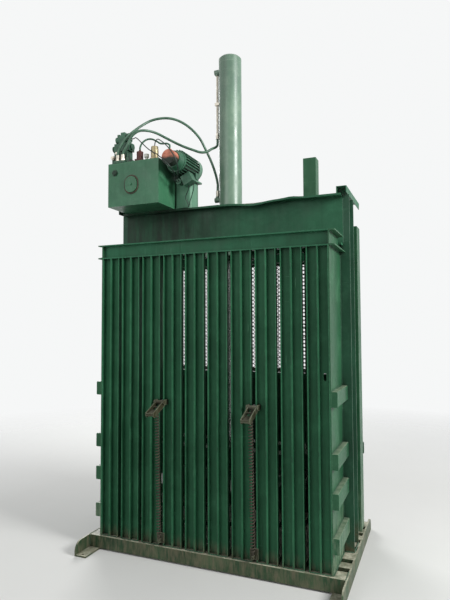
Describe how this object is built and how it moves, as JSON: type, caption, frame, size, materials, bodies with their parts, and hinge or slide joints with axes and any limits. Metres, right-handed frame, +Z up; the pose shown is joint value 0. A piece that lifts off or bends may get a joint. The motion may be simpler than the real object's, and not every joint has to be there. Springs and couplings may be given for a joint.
{
  "type": "recycling baler",
  "caption": "Vertical recycling baler with slotted walls, a platen driven by an upright hydraulic cylinder, a swinging lower door, a rising feed gate and a power unit on top.",
  "frame": {"origin": "centre of the overall box on the ground", "axes": "+Z up, -Y towards the slotted rear wall, +Y towards the lower door and feed gate"},
  "size_m": [2.01, 1.37, 3.985],
  "materials": {
    "machine_green": "worn satin paint",
    "side_green": "worn satin paint",
    "base_grey_green": "dirty paint",
    "unit_green": "satin paint",
    "bare_steel": "satin",
    "rusty_steel": "rusty",
    "hose_rubber": "matt",
    "pump_red": "satin",
    "filter_brass": "satin",
    "valve_red": "satin",
    "cap_white": "matt",
    "box_grey": "satin",
    "button_green": "gloss",
    "button_white": "gloss",
    "button_red": "gloss"
  },
  "bodies": {
    "frame": {"skid_left": "base_grey_green", "skid_right": "base_grey_green", "base_members": "base_grey_green", "floor_channels": "base_grey_green", "rear_panels": "machine_green", "rear_top_channel": "machine_green", "side_top_channels": "side_green", "side_plate_left": "side_green", "side_plate_right": "side_green", "side_ribs_left": "side_green", "side_ribs_right": "side_green", "column_left": "machine_green", "column_right": "machine_green", "front_post_left": "side_green", "front_post_right": "side_green", "front_header": "machine_green", "sill_beam": "machine_green", "side_headers": "side_green", "gate_guides": "bare_steel", "head_beam_rear": "machine_green", "head_beam_front": "machine_green", "cylinder_barrel": "side_green", "cylinder_head": "side_green", "cylinder_cap": "side_green", "cylinder_bolts": "bare_steel", "guide_sleeves": "machine_green", "door_hinges": "bare_steel", "dog_spring_left": "rusty_steel", "dog_spring_right": "rusty_steel", "dog_brackets": "rusty_steel", "oil_tank": "unit_green", "tank_lid": "unit_green", "access_cover": "unit_green", "level_plug": "unit_green", "filler_cap": "cap_white", "return_filter": "filter_brass", "relief_valve": "valve_red", "valve_stack": "unit_green", "hydraulic_fittings": "bare_steel", "motor_pedestal": "unit_green", "motor": "unit_green", "fan_cover": "unit_green", "pump": "pump_red", "conduit_box": "unit_green", "main_hoses": "hose_rubber", "small_pipes": "unit_green", "motor_leads": "hose_rubber", "control_box": "box_grey"},
    "platen": {"platen": "machine_green", "piston_rod": "bare_steel", "guide_posts": "machine_green"},
    "feed_gate": {"feed_gate": "bare_steel"},
    "lower_door": {"lower_door": "machine_green"},
    "lock_collar": {"lock_collar": "bare_steel"},
    "lock_screw": {"lock_screw": "bare_steel"},
    "dog_left": {"bale_dog_left": "rusty_steel"},
    "dog_right": {"bale_dog_right": "rusty_steel"},
    "button_up": {"button_up": "button_green"},
    "button_down": {"button_down": "button_white"},
    "button_stop": {"button_stop": "button_red"}
  },
  "joints": [
    {"name": "platen_slide", "type": "slide", "parent": "frame", "child": "platen", "axis": [0, 0, 1], "range_m": [0, 1.4]},
    {"name": "gate_slide", "type": "slide", "parent": "frame", "child": "feed_gate", "axis": [0, 0, 1], "range_m": [0, 0.95]},
    {"name": "door_hinge", "type": "hinge", "parent": "frame", "child": "lower_door", "pos_m": [-0.965, 0.505, 0.7], "axis": [0, 0, 1], "range_deg": [0, 120]},
    {"name": "lock_slide", "type": "slide", "parent": "lower_door", "child": "lock_collar", "axis": [0, -1, 0], "range_m": [0, 0.036]},
    {"name": "lock_turn", "type": "hinge", "parent": "lock_collar", "child": "lock_screw", "pos_m": [0.9415, 0.6, 0.7175], "axis": [0, -1, 0], "range_deg": [0, 2160]},
    {"name": "dog_left_hinge", "type": "hinge", "parent": "frame", "child": "dog_left", "pos_m": [-0.368, -0.517, 1.165], "axis": [-1, 0, 0], "range_deg": [0, 28], "deforming": ["dog_spring_left"]},
    {"name": "dog_right_hinge", "type": "hinge", "parent": "frame", "child": "dog_right", "pos_m": [0.368, -0.517, 1.165], "axis": [-1, 0, 0], "range_deg": [0, 28], "deforming": ["dog_spring_right"]},
    {"name": "button_up_press", "type": "slide", "parent": "frame", "child": "button_up", "axis": [1, 0, 0], "range_m": [0, 0.004]},
    {"name": "button_down_press", "type": "slide", "parent": "frame", "child": "button_down", "axis": [1, 0, 0], "range_m": [0, 0.004]},
    {"name": "button_stop_press", "type": "slide", "parent": "frame", "child": "button_stop", "axis": [1, 0, 0], "range_m": [0, 0.004]}
  ],
  "couplings": [
    {"joint": "lock_slide", "follows": "lock_turn", "m_per_rad": 0.00095493}
  ]
}
